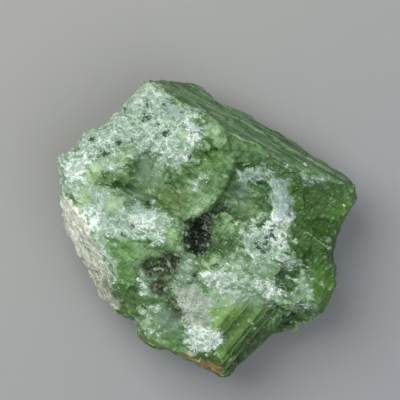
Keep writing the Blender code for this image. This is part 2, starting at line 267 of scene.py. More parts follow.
# White sugary crust
CRUST = [
    [(156, 87), (166, 94), (175, 101), (186, 107), (194, 111), (206, 114), (199, 119), (208, 124),
     (199, 131), (204, 137), (195, 142), (198, 150), (187, 154), (184, 163), (176, 166), (172, 158),
     (168, 167), (160, 160), (152, 152), (142, 150), (131, 153), (120, 152), (112, 156), (104, 160),
     (97, 164), (92, 166), (86, 172), (84, 180), (84, 186), (80, 192), (66, 198), (46, 196), (42, 172),
     (46, 152), (60, 140), (74, 128), (86, 118), (100, 114), (114, 102), (128, 84), (146, 82)],
    [(78, 194), (86, 189), (94, 187), (102, 185), (110, 187), (116, 194), (123, 200), (133, 200),
     (143, 205), (152, 208), (161, 210), (168, 212), (175, 218), (174, 224), (168, 229), (164, 240),
     (152, 245), (142, 243), (131, 240), (121, 235), (113, 236), (106, 240), (100, 236), (92, 236),
     (85, 222), (80, 212), (76, 204)],
    [(167, 284), (176, 281), (186, 286), (196, 283), (206, 290), (214, 298), (216, 306), (214, 318),
     (213, 327), (218, 333), (223, 340), (219, 347), (211, 351), (203, 352), (192, 350), (183, 346),
     (180, 338), (184, 330), (178, 322), (176, 312), (180, 304), (174, 296), (168, 290)],
    [(197, 273), (206, 269), (214, 270), (222, 268), (232, 268), (240, 272), (244, 282), (240, 296),
     (232, 299), (226, 296), (216, 290), (208, 286), (200, 282), (196, 277)],
    [(241, 236), (246, 230), (254, 226), (264, 224), (274, 222), (284, 226), (290, 232), (289, 242),
     (284, 250), (290, 257), (300, 255), (303, 259), (297, 267), (288, 268), (280, 262), (268, 262),
     (256, 264), (246, 256), (240, 246)],
    [(262, 282), (270, 276), (278, 278), (280, 290), (284, 297), (276, 301), (264, 297), (258, 290)],
    [(237, 171), (244, 169), (251, 173), (257, 169), (265, 166), (274, 170), (281, 176), (287, 185),
     (291, 197), (291, 210), (289, 222), (284, 230), (275, 230), (268, 230), (260, 228), (266, 218),
     (272, 211), (268, 205), (262, 204), (264, 198), (271, 195), (270, 187), (267, 180), (259, 181),
     (252, 180), (246, 182), (239, 178)],
    [(289, 280), (297, 276), (303, 272), (307, 276), (308, 284), (306, 292), (308, 300), (309, 307),
     (303, 309), (299, 305), (297, 298), (300, 291), (296, 287), (290, 285)],
    [(193, 179), (198, 176), (203, 179), (203, 184), (197, 186), (193, 184)],
    [(62, 186), (72, 184), (84, 186), (82, 194), (72, 196), (62, 196)],
    [(90, 228), (100, 233), (108, 242), (112, 256), (114, 270), (112, 286), (106, 284), (98, 262),
     (92, 242)],
]
# Thinner frosting, with green under it
HAZE = [
    [(222, 276), (246, 272), (262, 277), (277, 288), (272, 296), (256, 300), (240, 301), (222, 300),
     (214, 296), (216, 288)],
    [(96, 146), (118, 142), (140, 138), (152, 148), (142, 160), (122, 166), (104, 172), (92, 168)],
    [(80, 168), (92, 162), (100, 170), (104, 184), (120, 198), (116, 214), (96, 212), (78, 208), (74, 190)],
    [(304, 173), (314, 174), (326, 179), (325, 184), (312, 181), (304, 178)],
    [(246, 252), (268, 256), (290, 262), (286, 272), (262, 272), (240, 268)],
    [(294, 274), (306, 268), (312, 280), (312, 304), (302, 312), (292, 300), (296, 288)],
    [(88, 222), (102, 231), (110, 240), (115, 250), (120, 264), (118, 278), (114, 290), (120, 302),
     (112, 310), (102, 290), (96, 262), (88, 238)],
    [(138, 262), (146, 264), (150, 278), (148, 294), (140, 300), (136, 286)],
]
# Thinnest frosting
DUST = [
    [(240, 226), (254, 218), (264, 214), (262, 226), (252, 234), (242, 240)],
    [(214, 262), (226, 254), (240, 250), (262, 256), (284, 258), (282, 280), (288, 300), (270, 308),
     (240, 306), (214, 300), (198, 288), (200, 270)],
    [(174, 250), (186, 246), (200, 258), (208, 270), (196, 290), (180, 286), (170, 274), (178, 264)],
    [(140, 300), (152, 304), (166, 300), (158, 316), (166, 340), (156, 330), (142, 318)],
    [(160, 126), (180, 118), (204, 118), (204, 140), (198, 160), (184, 168), (160, 170), (150, 156)],
    [(94, 156), (112, 150), (124, 158), (118, 168), (104, 172), (92, 170)],
    [(296, 286), (308, 282), (312, 300), (306, 314), (294, 316), (286, 304)],
    [(126, 314), (142, 310), (160, 322), (150, 334), (138, 332)],
    [(200, 300), (214, 292), (220, 300), (218, 326), (226, 340), (214, 352), (200, 340)],
    [(174, 246), (188, 243), (200, 252), (196, 262), (180, 260)],
    [(222, 292), (240, 284), (262, 290), (274, 298), (262, 306), (240, 306), (222, 306)],
]
# Worn beige bevel
BEVEL = [
    [(58, 194), (70, 196), (80, 204), (85, 216), (90, 228), (97, 242), (104, 256), (110, 268), (112, 280),
     (115, 292), (119, 303), (116, 316), (104, 314), (90, 290), (75, 264), (60, 238)],
]
# Clear yellow-green crystals
LIME = [
    [(85, 172), (93, 165), (99, 164), (101, 170), (99, 178), (96, 184), (87, 183), (84, 178)],
    [(77, 194), (84, 190), (91, 190), (92, 198), (90, 208), (83, 212), (78, 205)],
    [(107, 201), (114, 198), (121, 200), (120, 208), (117, 214), (110, 213), (107, 208)],
    [(166, 230), (173, 226), (179, 228), (178, 237), (172, 243), (166, 240)],
    [(179, 131), (187, 129), (192, 135), (188, 141), (181, 141)],
]
# Paler clean breaks
PALE = [
    [(207, 126), (218, 121), (222, 128), (226, 136), (230, 142), (227, 147), (216, 146), (209, 141),
     (206, 134)],
    [(196, 204), (208, 196), (221, 186), (227, 180), (226, 188), (218, 198), (211, 206), (206, 212),
     (198, 216), (190, 216)],
    [(210, 309), (219, 297), (216, 288), (226, 285), (240, 290), (252, 292), (262, 294), (258, 304),
     (240, 306), (224, 307)],
    [(221, 262), (229, 255), (238, 253), (241, 260), (236, 268), (226, 270)],
    [(198, 258), (204, 254), (214, 255), (220, 262), (214, 268), (203, 269)],
    [(334, 189), (340, 186), (347, 190), (347, 199), (339, 202), (334, 198)],
    [(228, 163), (231, 161), (235, 164), (233, 169), (229, 168)],
    [(97, 232), (110, 236), (118, 243), (108, 256), (104, 268), (98, 256), (92, 244)],
    [(100, 160), (110, 154), (122, 148), (134, 152), (128, 160), (112, 164), (102, 172)],
    [(146, 334), (158, 332), (168, 340), (162, 350), (148, 344)],
    [(208, 232), (218, 224), (228, 220), (237, 225), (230, 238), (214, 244)],
]
# Darker clean breaks, and painted shade in some recesses and under a ledge
DEEP_AND_SHADED = [
    [(304, 186), (312, 182), (322, 184), (332, 188), (332, 198), (322, 206), (310, 204), (304, 196)],
    [(312, 222), (322, 220), (336, 226), (338, 236), (330, 246), (318, 242), (312, 232)],
    [(300, 252), (310, 250), (316, 258), (315, 270), (307, 272), (300, 262)],
    [(278, 268), (284, 266), (291, 268), (298, 267), (300, 275), (292, 280), (295, 291), (288, 296),
     (281, 293), (277, 284)],
    [(262, 178), (268, 178), (271, 186), (270, 196), (264, 200), (261, 190)],
    [(228, 172), (234, 174), (244, 184), (252, 186), (250, 196), (240, 200), (232, 192)],
    [(242, 134), (252, 136), (262, 142), (256, 146), (246, 143)],
    [(111, 184), (118, 180), (128, 181), (136, 186), (134, 192), (124, 194), (114, 190)],
    [(237, 318), (243, 311), (249, 312), (247, 319), (240, 323)],
    [(232, 350), (246, 334), (256, 322), (262, 326), (252, 344), (240, 356)],
    [(279, 324), (288, 320), (298, 326), (298, 334), (284, 334)],
    [(232, 160), (246, 160), (262, 160), (268, 166), (254, 169), (236, 168)],
    [(124, 281), (132, 279), (139, 284), (138, 292), (128, 293)],
    [(210, 236), (220, 232), (230, 238), (231, 250), (222, 256), (211, 250)],
    [(206, 214), (213, 206), (218, 201), (224, 200), (231, 203), (229, 212), (220, 220), (213, 226)],
    [(127, 166), (136, 164), (139, 171), (130, 175)],
    [(268, 128), (282, 138), (296, 146), (284, 148), (270, 142)],
    [(221, 338), (233, 322), (247, 307), (254, 309), (242, 322), (229, 341)],
    [(217, 329), (226, 319), (233, 323), (224, 335)],
    [(156, 314), (170, 312), (177, 328), (166, 336), (155, 326)],
    [(150, 108), (158, 106), (162, 112), (154, 118), (148, 116)],
    [(124, 112), (132, 108), (134, 118), (126, 122)],
]
# Deep dark pit
PIT = [
    [(184, 228), (190, 221), (198, 216), (206, 213), (212, 214), (213, 224), (212, 236), (210, 247),
     (203, 256), (196, 259), (188, 254), (184, 246), (183, 238)],
]
# Whitest crust
SNOW = [
    [(266, 214), (280, 212), (290, 218), (288, 228), (274, 232), (262, 226)],
    [(138, 211), (158, 214), (164, 222), (160, 232), (142, 234), (130, 224)],
    [(84, 212), (92, 210), (100, 220), (98, 232), (88, 230)],
    [(196, 322), (212, 322), (222, 338), (216, 350), (196, 350), (184, 342), (188, 330)],
    [(200, 272), (214, 270), (232, 272), (234, 292), (222, 292), (206, 284)],
    [(272, 226), (286, 230), (288, 244), (276, 248), (266, 240)],
    [(190, 118), (204, 120), (202, 140), (190, 142), (184, 130)],
    [(262, 282), (276, 280), (278, 292), (266, 298)],
    [(64, 196), (74, 200), (84, 214), (88, 228), (78, 222), (68, 208)],
    [(62, 160), (82, 148), (96, 152), (90, 170), (76, 182), (64, 178)],
]
# Dark green sides, hatched by cleavage, partly darkened as painted shade where they turn from the window
SHADE = [
    [(292, 174), (306, 186), (330, 186), (350, 188), (352, 208), (340, 238), (334, 262), (336, 300),
     (320, 312), (312, 290), (308, 266), (294, 250), (290, 226), (294, 200)],
    [(236, 366), (226, 350), (206, 352), (196, 356), (214, 374), (230, 382)],
    [(176, 78), (210, 92), (262, 116), (312, 144), (350, 172), (352, 182), (328, 170), (290, 148),
     (250, 124), (208, 102), (190, 92)],
    [(316, 270), (332, 268), (334, 292), (324, 304), (316, 294)],
]
# Dark brown patches
DUSK = [
    [(139, 266), (146, 260), (156, 258), (164, 252), (176, 250), (184, 256), (180, 268), (172, 276),
     (160, 278), (146, 276)],
    [(150, 281), (160, 277), (172, 280), (172, 292), (160, 296), (152, 291)],
    [(191, 272), (197, 270), (200, 275), (196, 281), (191, 279)],
    [(164, 300), (169, 296), (176, 298), (172, 306), (166, 308)],
    [(170, 310), (177, 306), (184, 312), (185, 319), (178, 320)],
]
# Yellowish green
OLIVE = [
    [(152, 192), (160, 188), (172, 186), (186, 184), (190, 192), (186, 200), (182, 212), (176, 217),
     (170, 210), (160, 206), (153, 204)],
    [(193, 352), (205, 352), (222, 349), (236, 351), (236, 362), (230, 378), (212, 374), (196, 366)],
    [(116, 300), (126, 297), (138, 300), (138, 314), (128, 320), (114, 312)],
    [(140, 330), (150, 332), (164, 340), (172, 348), (166, 356), (150, 348), (140, 340)],
]
# Fresh bright green
BRIGHT = [
    [(308, 270), (314, 266), (330, 264), (336, 280), (336, 298), (326, 308), (316, 300), (312, 288)],
    [(105, 243), (114, 240), (126, 242), (138, 246), (142, 254), (136, 262), (122, 262), (108, 254)],
    [(114, 272), (122, 266), (136, 268), (139, 278), (130, 290), (118, 290)],
    [(208, 308), (224, 307), (244, 306), (262, 304), (262, 314), (250, 322), (232, 330), (222, 324)],
    [(330, 205), (346, 203), (350, 214), (340, 224), (331, 218)],
    [(140, 320), (152, 316), (168, 322), (172, 334), (166, 346), (150, 340)],
    [(200, 146), (210, 143), (222, 150), (230, 160), (226, 172), (212, 176), (200, 170), (197, 158)],
]
# Greyish green
GREY = [
    [(138, 154), (144, 149), (152, 151), (158, 160), (160, 172), (156, 184), (148, 188), (142, 180),
     (138, 168)],
    [(152, 308), (164, 306), (172, 314), (178, 324), (178, 334), (166, 334), (154, 322)],
    [(145, 274), (152, 273), (154, 280), (158, 292), (150, 296), (145, 286)],
    [(121, 193), (136, 190), (152, 193), (152, 201), (136, 203), (122, 200)],
    [(175, 262), (190, 262), (193, 274), (186, 284), (176, 280)],
    [(233, 186), (244, 184), (250, 192), (246, 204), (238, 204)],
]
# Striated prism side
BAND = [
    [(155, 86), (170, 95), (185, 105), (207, 114), (218, 122), (229, 132), (244, 139), (258, 144),
     (271, 157), (286, 166), (299, 172), (320, 178), (345, 182), (362, 190), (350, 160), (310, 140),
     (262, 112), (228, 90), (180, 70), (156, 76)],
]
# Pinkish crust
WARM = [
    [(166, 284), (184, 286), (206, 290), (216, 306), (214, 326), (196, 330), (180, 318), (176, 300)],
    [(60, 206), (70, 206), (84, 226), (100, 252), (112, 290), (112, 312), (80, 280), (58, 230)],
]
# Blue-grey crust
COOL = [
    [(236, 166), (262, 163), (284, 172), (294, 190), (294, 212), (280, 214), (262, 190), (236, 182)],
    [(158, 98), (168, 94), (178, 100), (186, 108), (180, 120), (164, 118)],
    [(302, 172), (316, 173), (328, 181), (326, 188), (312, 186), (302, 180)],
    [(120, 198), (134, 198), (152, 206), (150, 216), (126, 214)],
    [(190, 122), (204, 118), (208, 128), (198, 136), (188, 132)],
]
# Rust stain
RUST = [
    [(176, 352), (186, 355), (200, 361), (214, 366), (219, 371), (214, 376), (198, 372), (178, 362)],
]
# Cleavage terraces
TREADS = [
    [(198, 298), (220, 286), (262, 288), (280, 296), (274, 312), (268, 326), (276, 336), (260, 356),
     (242, 376), (226, 370), (214, 350), (204, 332)],
]
# The grounds, by the names they have on the skin
ZONES = dict(
    crust=CRUST, haze=HAZE, dust=DUST, bevel=BEVEL, lime=LIME, pale=PALE, deep=DEEP_AND_SHADED, pit=PIT, dusk=DUSK,
    olive=OLIVE, bright=BRIGHT, grey=GREY, band=BAND, warm=WARM, cool=COOL, rust=RUST, treads=TREADS,
    snow=SNOW, shade=SHADE)
# The treads: how far out each starts, in millimetres, and its colour there and at its end
# Each tread's dark start is partly painted shade under the step before it
TREAD_STEPS = [
    (13.0, (140, 172, 124), (156, 186, 138)), (15.0, (112, 148, 78), (150, 184, 108)),
    (19.5, (84, 126, 42), (126, 164, 78)), (21.7, (44, 84, 12), (116, 152, 76)),
    (25.6, (42, 72, 22), (92, 124, 62)), (26.8, (28, 54, 12), (78, 110, 50)),
    (28.5, (20, 42, 8), (62, 92, 40)), (32.0, (50, 80, 30), (50, 80, 30)),
]
# The pale lip of each tread, a painted highlight
LIP_HIGHLIGHT = (204, 234, 178)
# What the grounds stain the green with, and how much
GREEN_STAINS = [
    ("shade", (62, 98, 26), 0.5), ("bright", (82, 130, 42), 0.45), ("olive", (92, 108, 44), 0.46),
    ("grey", (126, 148, 128), 0.65),
]
# Ledges and cleavage edges: the line, with its high side on the left as it runs, and the drop and
# reach in millimetres
LEDGES = [
    ([(178, 248), (183, 238), (185, 227), (193, 219), (208, 211), (211, 205), (217, 200), (220, 194),
      (226, 186)], 0.14, 1.0),
    ([(211, 309), (222, 296)], 0.12, 0.35),
    ([(217, 327), (225, 318), (242, 299)], 0.12, 0.35),
    ([(221, 337), (233, 321), (247, 307), (254, 300)], 0.14, 0.35),
    ([(230, 345), (243, 331), (258, 313), (272, 297)], 0.14, 0.35),
    ([(233, 350), (247, 335)], 0.1, 0.35),
    ([(239, 352), (255, 334)], 0.12, 0.35),
    ([(232, 320), (211, 309)], 0.1, 0.35),
    ([(343, 182), (320, 178), (299, 172), (286, 166), (271, 158), (258, 144), (244, 139), (229, 132)],
     0.14, 0.7),
    ([(218, 122), (207, 114), (185, 105), (171, 95), (155, 86)], 0.25, 0.8),
    ([(301, 152), (273, 143), (262, 131), (241, 119), (220, 112), (207, 104)], 0.25, 0.7),
    ([(308, 166), (286, 157), (271, 149), (244, 131)], 0.15, 0.6),
    ([(256, 142), (233, 133)], 0.15, 0.6),
    ([(331, 249), (308, 232)], 0.2, 0.5),
]
# Dark grains in the crust: place in pixels of the frame, and width in pixels
SPECKS = [
    (125.5, 110, 3), (146, 99, 3), (147, 106, 3), (144, 113.6, 3), (149, 117, 3), (143, 119, 3),
    (133, 124, 2), (92.6, 139.4, 5), (119, 142, 5), (133, 140, 3), (104.7, 153.8, 5),
    (109.5, 152.8, 3), (164, 105, 2), (158, 125, 3), (165.5, 133.7, 5), (182, 126, 3), (207, 154, 2),
    (190, 158, 2), (192.6, 162, 2), (215, 148, 2), (214, 167.5, 2), (190.7, 169, 2), (190, 174, 2),
    (133, 226.5, 3), (267, 238, 4), (272, 235, 4), (275, 238, 3), (256, 243, 3), (262, 246, 4),
    (266, 243, 4), (258, 247, 3), (263, 251, 3), (269, 247, 3), (148, 203, 5),
]
# Bright chipped spots, and painted glints, in the same form
CHIPS_AND_GLINTS = [
    (236.5, 223, 4), (294, 241, 5), (189.7, 199.7, 2), (329, 248, 4), (196, 243.5, 5), (286, 166.5, 2),
    (304.6, 164.6, 3), (308, 159, 2), (311, 159, 2), (241.6, 130.8, 2), (202, 290.5, 3), (252, 324, 3),
    (254, 329, 2), (73, 224, 3), (112, 221, 2), (283, 165, 3), (344, 205, 2),
]


def off_run(x, y, start, end):
    """How far each place lies from one straight run."""
    (ax, ay), (bx, by) = start, end
    run_x, run_y = bx - ax, by - ay
    share = np.clip(((x - ax) * run_x + (y - ay) * run_y) / (run_x ** 2 + run_y ** 2), 0.0, 1.0)
    return np.hypot(x - ax - share * run_x, y - ay - share * run_y)


def depth_inside(x, y, outline):
    """How far each place lies inside an outline, and less than zero outside it."""
    inside = np.zeros(x.shape, dtype=bool)
    nearest = np.full(x.shape, np.inf)
    for (ax, ay), (bx, by) in zip(outline, outline[1:] + outline[:1]):
        if ay != by:
            straddles = (ay > y) != (by > y)
            inside ^= straddles & (x < ax + (y - ay) * (bx - ax) / (by - ay))
        nearest = np.minimum(nearest, off_run(x, y, (ax, ay), (bx, by)))
    return np.where(inside, nearest, -nearest)


def ground(x, y, outlines):
    """How deep each place lies in a mineral's ground, from -3 to 3 millimetres."""
    deepest = np.full(x.shape, -GROUND_DEPTH)
    for outline in outlines:
        drawn = [on_stone(*corner) for corner in outline]
        deepest = np.maximum(deepest, depth_inside(x, y, drawn))
    return np.clip(deepest, -GROUND_DEPTH, GROUND_DEPTH)


def spots(x, y, dots):
    """How deep each place lies in the nearest of the round spots, in millimetres."""
    deepest = np.full(x.shape, -GROUND_DEPTH)
    for pixel_x, pixel_y, width in dots:
        middle_x, middle_y = on_stone(pixel_x, pixel_y)
        deepest = np.maximum(deepest, width / PIXELS_PER_MM / 2.0 - np.hypot(x - middle_x, y - middle_y))
    return deepest


def way_out(x, y, heading):
    """How far a place lies out from the middle in a direction of the plan."""
    turn = math.radians(heading)
    return x * math.cos(turn) + y * math.sin(turn)


def waves(places, width, seed):
    """Smooth waves from -1 to 1, of a width in millimetres."""
    shift = Vector((seed * 3.1, seed * 7.7, seed * 1.9))
    return np.array([noise.noise(Vector(place) / width + shift) for place in places])


def facets(places, cell, stretch, seed):
    """Flat breaks that meet in crisp ridges: the lowest of the tilted, blunt pits near each place."""
    turn = math.radians(PRISM)
    run = (places[:, 0] * math.cos(turn) + places[:, 1] * math.sin(turn)) / stretch
    side = places[:, 1] * math.cos(turn) - places[:, 0] * math.sin(turn)
    rock = np.stack([run, side, places[:, 2]], axis=1) / cell + seed * 5.3
    heights = np.empty(len(rock))
    for index, place in enumerate(rock):
        place = Vector(place)
        pits = []
        for centre in noise.voronoi(place)[1]:
            tilt = noise.cell_vector(centre * 41.0) - Vector((0.5, 0.5, 0.5))
            away = place - centre
            pits.append(away.dot(tilt) * 1.6 + max(map(abs, away)) * 1.3)
        heights[index] = min(pits)
    return heights * cell


def stairs(places, heading, tread, seed):
    """Cleavage steps that face a direction: each tread tilts a little, then drops."""
    way = way_out(places[:, 0], places[:, 1], heading)
    way = way / tread + 0.12 * waves(places, 12.0, seed)
    return (way - np.floor(way)) - 0.5


def terraces(x, y):
    """Each tread of the terraces climbs a little to its edge, then drops."""
    way = way_out(x, y, PARTING - 90.0)
    starts = np.array([start for start, _, _ in TREAD_STEPS])
    tread = np.clip(np.searchsorted(starts, way) - 1, 0, len(starts) - 2)
    return np.clip((way - starts[tread]) / (starts[tread + 1] - starts[tread]), 0.0, 1.0) - 0.5


def ledge(x, y, line, drop, reach):
    """A lip along the high side of a line and a foot along its low side, fading away from it."""
    drawn = [on_stone(*corner) for corner in line]
    side = np.zeros(x.shape)
    nearest = np.full(x.shape, np.inf)
    for (ax, ay), (bx, by) in zip(drawn, drawn[1:]):
        off = off_run(x, y, (ax, ay), (bx, by))
        cross = (bx - ax) * (y - ay) - (by - ay) * (x - ax)
        facing = cross / math.hypot(bx - ax, by - ay) / np.maximum(off, 1e-6)
        side = np.where(off < nearest, facing, side)
        nearest = np.minimum(nearest, off)
    return drop * side * np.exp(-nearest / reach)


def ledges(x, y):
    """All lips and feet together."""
    return sum(ledge(x, y, *each) for each in LEDGES)


def vectors_of(piece, kind):
    """A vector for each point of a mesh: co is its place, in metres, and normal its way out."""
    flat = np.empty(len(piece.data.vertices) * 3)
    piece.data.vertices.foreach_get(kind, flat)
    return flat.reshape(-1, 3)


def settle(piece):
    """Makes what a piece's modifiers show its own mesh."""
    bpy.context.view_layer.update()
    shown = piece.evaluated_get(bpy.context.evaluated_depsgraph_get())
    result = bpy.data.meshes.new_from_object(shown)
    piece.modifiers.clear()
    piece.data = result


def worked(piece, kind, **settings):
    """Runs one modifier over a piece and keeps its result."""
    modifier = piece.modifiers.new(kind, kind)
    for name, value in settings.items():
        setattr(modifier, name, value)
    settle(piece)


def rough_copy():
    """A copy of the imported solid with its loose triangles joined."""
    shape = bmesh.new()
    shape.from_mesh(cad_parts["diopside"].data)
    bmesh.ops.remove_doubles(shape, verts=shape.verts, dist=1e-6)
    mesh = bpy.data.meshes.new("stone_skin")
    shape.to_mesh(mesh)
    shape.free()
    return put("stone_skin", mesh)


def strayed(points):
    """Places in plan, moved about a little so that drawn outlines look broken."""
    x = points[:, 0] + 0.55 * waves(points, 2.6, 1) + 0.3 * waves(points, 0.9, 2)
    y = points[:, 1] + 0.55 * waves(points, 2.6, 3) + 0.3 * waves(points, 0.9, 4)
    return x, y


def face_share(points):
    """1 on the face and its steep edges, and 0 on the back."""
    rim = RIM_HEIGHT + 1.5 * waves(points, 8.0, 5)
    return np.clip((points[:, 2] - rim) / 1.5, 0.0, 1.0)


def soft(depth, reach):
    """0 outside a ground and 1 once well inside it."""
    return np.clip(depth / reach + 0.5, 0.0, 1.0)


def break_skin(piece):
    """Breaks the skin into steps, facets and crumbs, each where its mineral lies."""
    points, normals = vectors_of(piece, "co") / MM, vectors_of(piece, "normal")
    x, y = strayed(points)
    on_face = face_share(points)
    crust = soft(ground(x, y, CRUST), 1.2) * on_face
    pit = soft(ground(x, y, PIT), 0.8)
    steep = np.clip(1.2 - normals[:, 2], 0.0, 1.0)
    patch = np.clip(0.3 + 1.6 * waves(points, 5.0, 6), 0.0, 1.0)
    other = np.clip(0.3 + 1.6 * waves(points, 5.0, 7), 0.0, 1.0)
    trodden = soft(ground(x, y, TREADS), 1.5) * on_face
    plain = (1.0 - crust) * (1.0 - trodden)
    out = PARTING_STEP * plain * patch * stairs(points, PARTING - 90.0, tread=1.9, seed=8)
    out += PRISM_STEP * plain * other * stairs(points, PRISM + 90.0, tread=2.2, seed=9)
    out += TREAD_RISE * trodden * (1.0 - crust) * terraces(points[:, 0], points[:, 1])
    sheared = soft(ground(x, y, SHADE), 1.0) * (1.0 - crust) * (1.0 - trodden)
    out += SHEAR_STEP * sheared * stairs(points, PARTING - 90.0, tread=1.3, seed=16)
    banded = soft(ground(x, y, BAND), 1.0)
    calm = (1.0 - 0.5 * crust) * (1.0 - 0.7 * banded) * (1.0 - 0.85 * trodden) * (1.0 - 0.3 * sheared)
    out += FACET * calm * facets(points, cell=2.6, stretch=1.6, seed=1)
    crumbs = facets(points, cell=0.85, stretch=1.0, seed=2)
    out += CRUMB * (0.12 + crust + pit) * (1.0 - 0.8 * trodden) * crumbs
    out += PIT_FACET * pit * facets(points, cell=1.5, stretch=1.0, seed=3)
    out += SWELL * (1.0 - 0.6 * banded) * waves(points, 1.1, 10)
    along = way_out(points[:, 0], points[:, 1], PRISM) / 12.0
    across = way_out(points[:, 0], points[:, 1], PRISM + 90.0)
    out += STRIA * steep * banded * waves(np.stack([along, across, points[:, 2]], 1), 0.8, 11)
    # Nothing moves where the stone rests
    out *= np.clip(points[:, 2] / 1.5 - 0.1, 0.0, 1.0)
    points += normals * out[:, None]
    near_x = points[:, 0] + 0.2 * waves(points, 1.6, 12)
    near_y = points[:, 1] + 0.2 * waves(points, 1.6, 13)
    points[:, 2] += ledges(near_x, near_y) * face_share(points)
    points[:, 2] = np.maximum(points[:, 2], 0.0)
    piece.data.vertices.foreach_set("co", (points * MM).ravel())
    piece.data.update()


def over_neighbours(pairs, values):
    """The sum of what each point's neighbours have."""
    total = np.zeros_like(values)
    for near, far in ((0, 1), (1, 0)):
        np.add.at(total, pairs[:, near], values[pairs[:, far]])
    return total


def bulge(piece):
    """How far each point stands out from its neighbours, in hundredths of a millimetre."""
    points, normals = vectors_of(piece, "co") / MM, vectors_of(piece, "normal")
    pairs = np.empty(len(piece.data.edges) * 2, dtype=np.int64)
    piece.data.edges.foreach_get("vertices", pairs)
    pairs = pairs.reshape(-1, 2)
    count = over_neighbours(pairs, np.ones(len(points)))
    offset = points - over_neighbours(pairs, points) / count[:, None]
    stand = np.einsum("ij,ij->i", offset, normals)
    for _ in range(3):
        stand = 0.5 * stand + 0.5 * over_neighbours(pairs, stand) / count
    return stand * 100.0


def write_field(piece, name, values):
    field = piece.data.attributes.new(name, "FLOAT", "POINT")
    field.data.foreach_set("value", values.astype(np.float32))


def note_minerals(piece):
    """Writes each mineral's ground on the skin, for the finish to read."""
    points = vectors_of(piece, "co") / MM
    x, y = strayed(points)
    seen = face_share(points)
    unseen = GROUND_DEPTH * (1.0 - seen)
    for name, outlines in ZONES.items():
        write_field(piece, name, ground(x, y, outlines) * seen - unseen)
    for name, dots in (("specks", SPECKS), ("chips", CHIPS_AND_GLINTS)):
        write_field(piece, name, spots(points[:, 0], points[:, 1], dots) * seen - unseen)
    write_field(piece, "face", seen)
    clumps = 2.5 * waves(points, 1.8, 14) + 2.5 * waves(points, 4.5, 15) - 0.3
    write_field(piece, "clumps", np.minimum(ground(x, y, CRUST), 1.0) + clumps - unseen)
    write_field(piece, "ledges", ledges(points[:, 0], points[:, 1]) * seen)
    write_field(piece, "bulge", bulge(piece))


def clouds(place, width, detail=2.0, rough=0.55):
    """Smooth noise about 0, of a width in millimetres."""
    sockets = {"Vector": place, "Scale": 1.0 / (width * MM), "Detail": detail, "Roughness": rough}
    return place.add("ShaderNodeTexNoise", None, sockets) - 0.5


class Rock:
    """What the stone's colours are worked out from: noises, crystals and the grounds of its minerals."""

    def __init__(self, place):
        self.place = place
        self.height = place.along((0.0, 0.0, 1.0 / MM))
        self.steps_way = self.way(PARTING - 90.0)
        lattice = {0: self.steps_way * 0.7, 1: self.way(PRISM + 90.0), 2: self.height}
        self.lattice = place.add("ShaderNodeCombineXYZ", None, lattice)
        self.fine, self.small = clouds(place, 0.35), clouds(place, 0.9)
        self.mottle, self.cloud = clouds(place, 1.6, 4.0, 0.65), clouds(place, 6.0, 7.0, 0.6)
        self.drift = clouds(place, 9.0, 6.0, 0.6)
        self.grain, self.grain_tilt = self.cells(0.55, 0.3)
        self.block, self.block_tilt = self.cells(1.2, 0.2, "CHEBYCHEV")
        self.lump, self.lump_tilt = self.cells(2.7, 0.2, "CHEBYCHEV")
        self.part_line, self.prism_line = self.streaks(PARTING, 0.45, 8.0), self.streaks(PRISM, 0.45, 8.0)
        self.edge = self.cloud * 5.5 + self.mottle * 4.5 + self.block * 1.2 + self.lump * 1.1

    def field(self, name):
        """What the skin carries under a name, such as the depth in a mineral's ground."""
        return self.place.add("ShaderNodeAttribute", {"attribute_name": name}, out=2)

    def way(self, heading):
        """How far a place lies out from the middle in a direction of the plan, in millimetres."""
        turn = math.radians(heading)
        return self.place.along((math.cos(turn) / MM, math.sin(turn) / MM, 0.0))

    def cells(self, width, bend, metric="EUCLIDEAN"):
        """Crystals of a width in millimetres: a value of its own for each, and the tilt of its face."""
        half = (0.5, 0.5, 0.5)
        ragged = {"Vector": self.lattice, "Scale": 1.6 / width}
        ragged = self.place.add("ShaderNodeTexNoise", None, ragged, out=1).vectors("SUBTRACT", half)
        bent = {"Vector": self.lattice.vectors("ADD", ragged.scaled(bend * width)), "Scale": 1.0 / width}
        own = self.place.add("ShaderNodeTexVoronoi", {"distance": metric}, bent, out=1)
        value = self.place.add("ShaderNodeSeparateColor", None, {0: own})
        return value - 0.5, own.vectors("SUBTRACT", half)

    def streaks(self, heading, width, length, detail=2.0):
        """Noise about 0, drawn out into streaks that run in a direction of the plan."""
        drawn = {0: self.way(heading) * (1.0 / length), 1: self.way(heading + 90.0) * (1.0 / width),
                 2: self.height * (1.0 / width)}
        drawn = self.place.add("ShaderNodeCombineXYZ", None, drawn)
        sockets = {"Vector": drawn, "Scale": 1.0, "Detail": detail}
        return self.place.add("ShaderNodeTexNoise", None, sockets) - 0.5

    def share(self, name, low=-1.2, high=1.6, most=1.0):
        """How much of a mineral shows, with its edge broken up."""
        return (self.field(name) + self.edge).over(low, high) * most

    def tint(self, name, most=1.0):
        """How much a mineral stains the green, which it does with a soft edge."""
        soft_edge = self.cloud * 4.0 + self.mottle * 1.5 + self.lump * 0.8
        return (self.field(name) + soft_edge).over(-2.2, 2.4) * most

    def crisp(self, name, most=1.0):
        """How much of a clean-edged crystal shows."""
        clean_edge = self.cloud * 2.0 + self.mottle * 2.0 + self.lump * 0.8
        return (self.field(name) + clean_edge).over(-1.7, 1.7) * most


